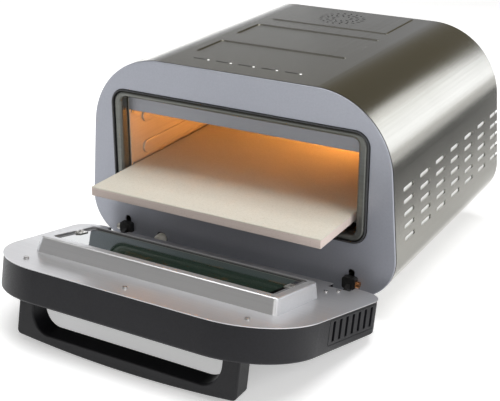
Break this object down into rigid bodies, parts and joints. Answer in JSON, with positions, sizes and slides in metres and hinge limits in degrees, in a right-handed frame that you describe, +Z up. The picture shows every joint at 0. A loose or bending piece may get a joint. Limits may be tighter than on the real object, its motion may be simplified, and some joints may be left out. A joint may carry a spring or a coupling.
{
  "type": "countertop pizza oven",
  "caption": "Countertop electric oven with a drop-down window door, bow handle and a stone on a carrier that slides out as the door opens.",
  "frame": {"origin": "on the counter, under the middle of the oven and its open door", "axes": "+Z up, +Y from the door towards the rear panel, +X to the right of somebody facing the door"},
  "size_m": [0.4578, 0.6682, 0.2928],
  "materials": {
    "shell_steel": "brushed along the depth",
    "fascia_paint": "satin grey-lavender",
    "black_rubber": "matte",
    "dark_ring_steel": "satin dark grey-green",
    "cavity_steel": "bright satin",
    "screw_steel": "bright",
    "element_sheath": "heat-darkened",
    "lamp_ceramic": "matte",
    "lamp_glass": "frosted warm",
    "probe_steel": "satin",
    "wool": "mineral wool",
    "bright_plate": "bright",
    "rail_steel": "satin",
    "carrier_wire": "bright wire",
    "stone": "cream fired clay, pinkish edge",
    "base_zinc": "zinc grey",
    "black_plastic": "fine grain",
    "board_green": "circuit board",
    "component_mix": "moulded parts",
    "light_white": "white light",
    "hinge_steel": "black oxide",
    "leaf_steel": "satin",
    "pin_steel": "bright",
    "brass": "copper-brass",
    "plunger_white": "cream white",
    "door_steel": "light satin",
    "surround_grey": "satin grey",
    "window_glass": "dark green tint",
    "handle_black": "fine grain",
    "knob_black": "fine grain"
  },
  "bodies": {
    "oven_body": {"outer_shell": "shell_steel", "front_fascia": "fascia_paint", "seam_strip": "black_rubber", "mouth_seal": "black_rubber", "mouth_ring": "dark_ring_steel", "cavity_left_wall": "cavity_steel", "cavity_right_wall": "cavity_steel", "cavity_roof": "cavity_steel", "cavity_floor": "cavity_steel", "cavity_back_wall": "cavity_steel", "cavity_front_frame": "fascia_paint", "cavity_frame_screws": "screw_steel", "upper_heating_element": "element_sheath", "lower_heating_element": "element_sheath", "element_clips": "cavity_steel", "lamp_holder": "lamp_ceramic", "lamp_glass": "lamp_glass", "temperature_probes": "probe_steel", "insulation_sleeve": "wool", "air_baffles": "bright_plate", "left_guide_rail": "rail_steel", "right_guide_rail": "rail_steel", "base_plate": "base_zinc", "feet": "black_plastic", "foot_pads": "black_rubber", "foot_screws": "screw_steel", "power_board": "board_green", "board_posts": "screw_steel", "power_components": "component_mix", "rear_panel": "base_zinc", "rear_screws": "screw_steel", "cord_gland": "black_plastic", "indicator_board": "board_green", "indicator_lights": "light_white", "fan_frame": "black_plastic", "fan_spacers": "screw_steel", "door_switch": "black_plastic", "hinge_brackets": "hinge_steel", "hinge_pins": "pin_steel", "hinge_rollers": "brass"},
    "door": {"door_inner_plate": "door_steel", "door_plate_screws": "screw_steel", "hinge_leaf_screws": "screw_steel", "hinge_leaves": "leaf_steel", "door_shell": "black_plastic", "window_surround": "surround_grey", "inner_window_glass": "window_glass", "outer_window_glass": "window_glass", "glass_clips": "leaf_steel", "glass_clip_screws": "screw_steel", "door_handle": "handle_black", "handle_screws": "screw_steel", "door_control_board": "board_green", "rotary_controls": "component_mix"},
    "temperature_knob": {"temperature_knob": "knob_black"},
    "timer_knob": {"timer_knob": "knob_black"},
    "stone_carrier": {"stone_carrier": "carrier_wire"},
    "pizza_stone": {"pizza_stone": "stone"},
    "switch_plunger": {"door_switch_plunger": "plunger_white"},
    "fan_rotor": {"fan_rotor": "black_plastic"}
  },
  "joints": [
    {"name": "door_hinge", "type": "hinge", "parent": "oven_body", "child": "door", "pos_m": [0, -0.0823, 0.0354], "axis": [1, 0, 0], "range_deg": [-77, 0]},
    {"name": "stone_carrier_slide", "type": "slide", "parent": "oven_body", "child": "stone_carrier", "axis": [0, 1, 0], "range_m": [0, 0.105]},
    {"name": "stone_lift", "type": "slide", "parent": "stone_carrier", "child": "pizza_stone", "axis": [0, 0, 1], "range_m": [0, 0.025]},
    {"name": "door_switch_press", "type": "slide", "parent": "oven_body", "child": "switch_plunger", "axis": [0, 1, 0], "range_m": [0, 0.0045]},
    {"name": "temperature_turn", "type": "hinge", "parent": "door", "child": "temperature_knob", "pos_m": [-0.062, -0.13864, 0.01854], "axis": [0, -0.225, -0.9744], "range_deg": [-135, 135]},
    {"name": "timer_turn", "type": "hinge", "parent": "door", "child": "timer_knob", "pos_m": [0.062, -0.13864, 0.01854], "axis": [0, -0.225, -0.9744], "range_deg": [-135, 135]},
    {"name": "fan_spin", "type": "hinge", "parent": "oven_body", "child": "fan_rotor", "pos_m": [-0.008, 0.2701, 0.272], "axis": [0, 0, 1], "continuous": true}
  ],
  "couplings": [
    {"joint": "stone_carrier_slide", "follows": "door_hinge", "m_per_rad": -0.0781},
    {"joint": "door_switch_press", "follows": "door_hinge", "m_per_rad": -0.00334}
  ]
}
